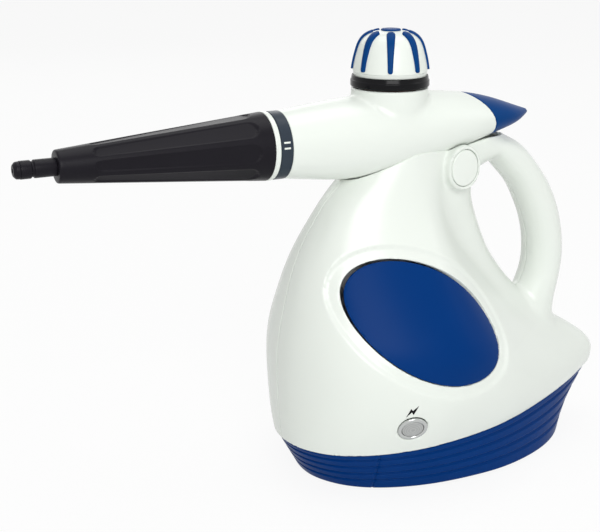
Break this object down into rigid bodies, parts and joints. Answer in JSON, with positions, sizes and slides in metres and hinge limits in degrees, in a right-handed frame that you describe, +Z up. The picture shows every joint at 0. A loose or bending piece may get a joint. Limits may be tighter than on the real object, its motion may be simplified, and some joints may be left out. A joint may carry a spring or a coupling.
{
  "type": "handheld steam cleaner",
  "caption": "Handheld steam cleaner with a bellied tank body, hand loop, thumb lever, ribbed safety cap and tapering nozzle.",
  "frame": {"origin": "on the floor, under the middle of the overall length", "axes": "+Z up, the nozzle points to -X, the handle is at +X, left is -Y"},
  "size_m": [0.384, 0.1436, 0.268],
  "materials": {
    "white": "smooth glossy moulded plastic",
    "blue": "glossy deep blue moulded plastic",
    "lever_blue": "glossy blue moulded plastic",
    "dark": "satin near-black heat-resistant plastic",
    "ring_dark": "satin dark blue-grey plastic",
    "inner_plastic": "plain natural plastic",
    "steel": "bare steel",
    "zinc": "bright plated steel",
    "alloy": "cast and turned alloy",
    "brass": "turned brass",
    "chrome": "bright plating",
    "rubber": "black rubber",
    "seal": "heat-resistant seal rubber",
    "felt": "pressed insulating felt",
    "lens": "grey translucent lens",
    "ceramic": "pale insulating body"
  },
  "bodies": {
    "housing": {"left_shell": "white", "right_shell": "white", "left_oval_panel": "blue", "right_oval_panel": "blue", "barrel_cover": "white", "base_pan": "blue", "rubber_feet": "rubber", "case_screws": "zinc", "base_screws": "zinc", "cord_gland": "dark", "terminal_block": "ceramic", "boiler_lower": "alloy", "boiler_gasket": "seal", "boiler_upper": "alloy", "boiler_jacket": "felt", "boiler_screws": "zinc", "post_screws": "zinc", "filler_tube": "brass", "heater_plate": "alloy", "heating_element": "steel", "thermostat": "ceramic", "thermal_fuse": "steel", "steam_pipe": "brass", "valve_body": "brass", "valve_spring": "steel", "outlet_pipe": "brass", "outlet_stub": "brass", "nozzle_socket": "inner_plastic", "end_ring": "ring_dark", "lever_pin": "steel", "lever_spring": "steel", "pilot_bezel": "chrome", "pilot_lens": "lens", "pilot_lamp": "ceramic"},
    "nozzle_seal_group": {"nozzle_oring": "seal"},
    "nozzle_group": {"nozzle_cone": "dark", "nozzle_collar": "white", "nozzle_liner": "inner_plastic", "nozzle_tip": "dark", "nozzle_nose": "dark"},
    "cap_seal_group": {"cap_gasket": "seal"},
    "cap_washer_group": {"cap_slip_washer": "inner_plastic"},
    "cap_core": {"cap_base": "dark", "cap_plug": "brass", "relief_spring": "steel", "cap_spring": "steel"},
    "relief_group": {"relief_poppet": "brass"},
    "dome_washer_group": {"cap_washer": "steel"},
    "dome_group": {"cap_dome": "white", "cap_ribs": "lever_blue", "cap_disc": "lever_blue"},
    "lever_group": {"steam_lever": "lever_blue"},
    "plunger_group": {"valve_plunger": "brass"},
    "lock_group": {"lock_button": "white", "lock_cap": "white"}
  },
  "joints": [
    {"name": "nozzle_pull", "type": "slide", "parent": "housing", "child": "nozzle_seal_group", "axis": [-1, 0, 0], "range_m": [0, 0.03]},
    {"name": "nozzle_twist", "type": "hinge", "parent": "nozzle_seal_group", "child": "nozzle_group", "pos_m": [0, 0, 0.207], "axis": [1, 0, 0], "range_deg": [0, 45]},
    {"name": "cap_lift", "type": "slide", "parent": "housing", "child": "cap_seal_group", "axis": [0, 0, 1], "range_m": [0, 0.06]},
    {"name": "cap_rise", "type": "slide", "parent": "cap_seal_group", "child": "cap_washer_group", "axis": [0, 0, 1], "range_m": [0, 0.006]},
    {"name": "cap_turn", "type": "hinge", "parent": "cap_washer_group", "child": "cap_core", "pos_m": [0.029, 0, 0.23], "axis": [0, 0, 1], "range_deg": [0, 720]},
    {"name": "relief_lift", "type": "slide", "parent": "cap_core", "child": "relief_group", "axis": [0, 0, 1], "range_m": [0, 0.0015], "stiffness_N_per_m": 600, "springref_m": -0.002, "deforming": ["relief_spring"]},
    {"name": "dome_press", "type": "slide", "parent": "cap_core", "child": "dome_washer_group", "axis": [0, 0, -1], "range_m": [0, 0.002], "stiffness_N_per_m": 1500, "springref_m": -0.003, "deforming": ["cap_spring"]},
    {"name": "dome_spin", "type": "hinge", "parent": "dome_washer_group", "child": "dome_group", "pos_m": [0.029, 0, 0.25], "axis": [0, 0, 1], "continuous": true},
    {"name": "lever_press", "type": "hinge", "parent": "housing", "child": "lever_group", "pos_m": [0.072, 0, 0.197], "axis": [0, 1, 0], "range_deg": [0, 5], "stiffness_Nm_per_rad": 0.8, "springref_deg": -5.73},
    {"name": "valve_lift", "type": "slide", "parent": "housing", "child": "plunger_group", "axis": [0, 0, 1], "range_m": [0, 0.0016], "deforming": ["valve_spring"]},
    {"name": "lock_push", "type": "slide", "parent": "housing", "child": "lock_group", "axis": [0, -1, 0], "range_m": [0, 0.004]}
  ],
  "couplings": [
    {"joint": "cap_rise", "follows": "cap_turn", "m_per_rad": 0.00047746},
    {"joint": "valve_lift", "follows": "lever_press", "m_per_rad": 0.018}
  ]
}
